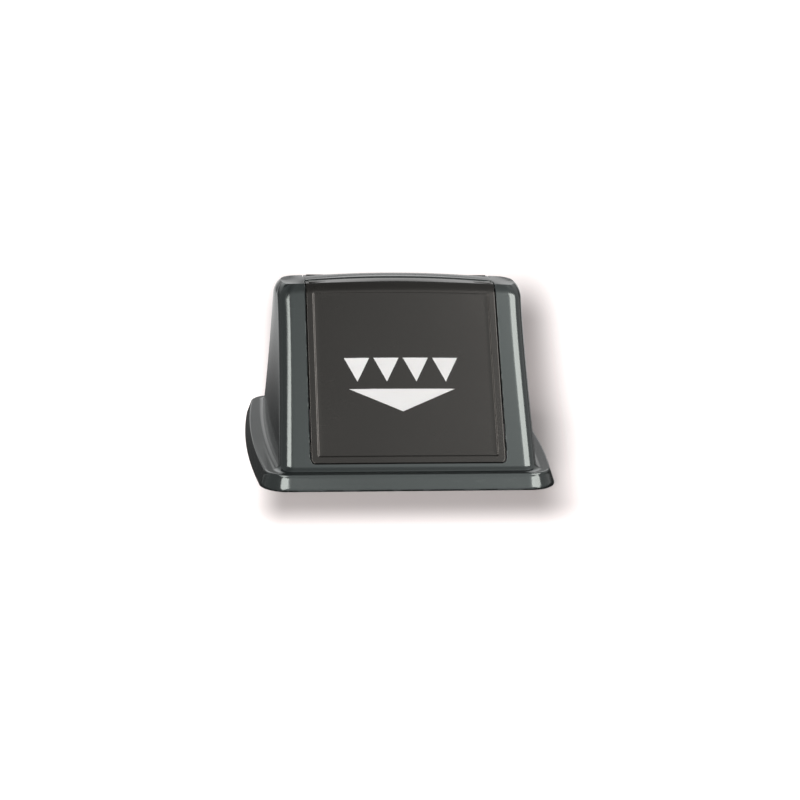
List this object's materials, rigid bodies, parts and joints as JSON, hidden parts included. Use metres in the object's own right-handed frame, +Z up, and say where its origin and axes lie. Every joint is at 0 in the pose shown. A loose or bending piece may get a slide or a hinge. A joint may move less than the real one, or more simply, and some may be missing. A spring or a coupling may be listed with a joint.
{
  "type": "push-flap waste container hood",
  "caption": "Square moulded hood with a deep skirt and a flap in each sloping face that swings inwards on a rod under the ridge and is closed by torsion springs.",
  "frame": {"origin": "middle of the skirt's lower edge, in the plane the skirt stands on", "axes": "+X along the hinge rods to the right, front flap towards -Y, +Z up"},
  "size_m": [0.606, 0.6, 0.3648],
  "materials": {
    "hood_plastic": "semi-gloss moulded, dark grey-green",
    "flap_plastic": "satin moulded, dark brown-grey",
    "black_nylon": "moulded",
    "natural_acetal": "turned",
    "zinc_steel": "zinc plated",
    "spring_steel": "drawn wire",
    "stop_rubber": "matt"
  },
  "bodies": {
    "hood": {"hood_shell": "hood_plastic", "ridge_cover": "hood_plastic", "hinge_block_left": "black_nylon", "hinge_block_right": "black_nylon", "front_bush_left": "natural_acetal", "front_bush_right": "natural_acetal", "rear_bush_left": "natural_acetal", "rear_bush_right": "natural_acetal", "front_spring_left": "spring_steel", "front_spring_right": "spring_steel", "rear_spring_left": "spring_steel", "rear_spring_right": "spring_steel", "cover_screw_1": "zinc_steel", "cover_screw_2": "zinc_steel", "cover_screw_3": "zinc_steel", "block_screw_left_front": "zinc_steel", "block_screw_left_rear": "zinc_steel", "block_screw_right_front": "zinc_steel", "block_screw_right_rear": "zinc_steel"},
    "front_door": {"front_flap": "flap_plastic", "front_hinge_rod": "zinc_steel", "front_push_nut_left": "spring_steel", "front_push_nut_right": "spring_steel", "front_stop_pad_left": "stop_rubber", "front_stop_pad_right": "stop_rubber"},
    "rear_door": {"rear_flap": "flap_plastic", "rear_hinge_rod": "zinc_steel", "rear_push_nut_left": "spring_steel", "rear_push_nut_right": "spring_steel", "rear_stop_pad_left": "stop_rubber", "rear_stop_pad_right": "stop_rubber"}
  },
  "joints": [
    {"name": "front_flap_hinge", "type": "hinge", "parent": "hood", "child": "front_door", "pos_m": [0, -0.013, 0.338], "axis": [1, 0, 0], "range_deg": [0, 38], "stiffness_Nm_per_rad": 0.8, "springref_deg": -91.67, "deforming": ["front_spring_left", "front_spring_right"]},
    {"name": "rear_flap_hinge", "type": "hinge", "parent": "hood", "child": "rear_door", "pos_m": [0, 0.013, 0.338], "axis": [-1, 0, 0], "range_deg": [0, 38], "stiffness_Nm_per_rad": 0.8, "springref_deg": -91.67, "deforming": ["rear_spring_left", "rear_spring_right"]}
  ]
}
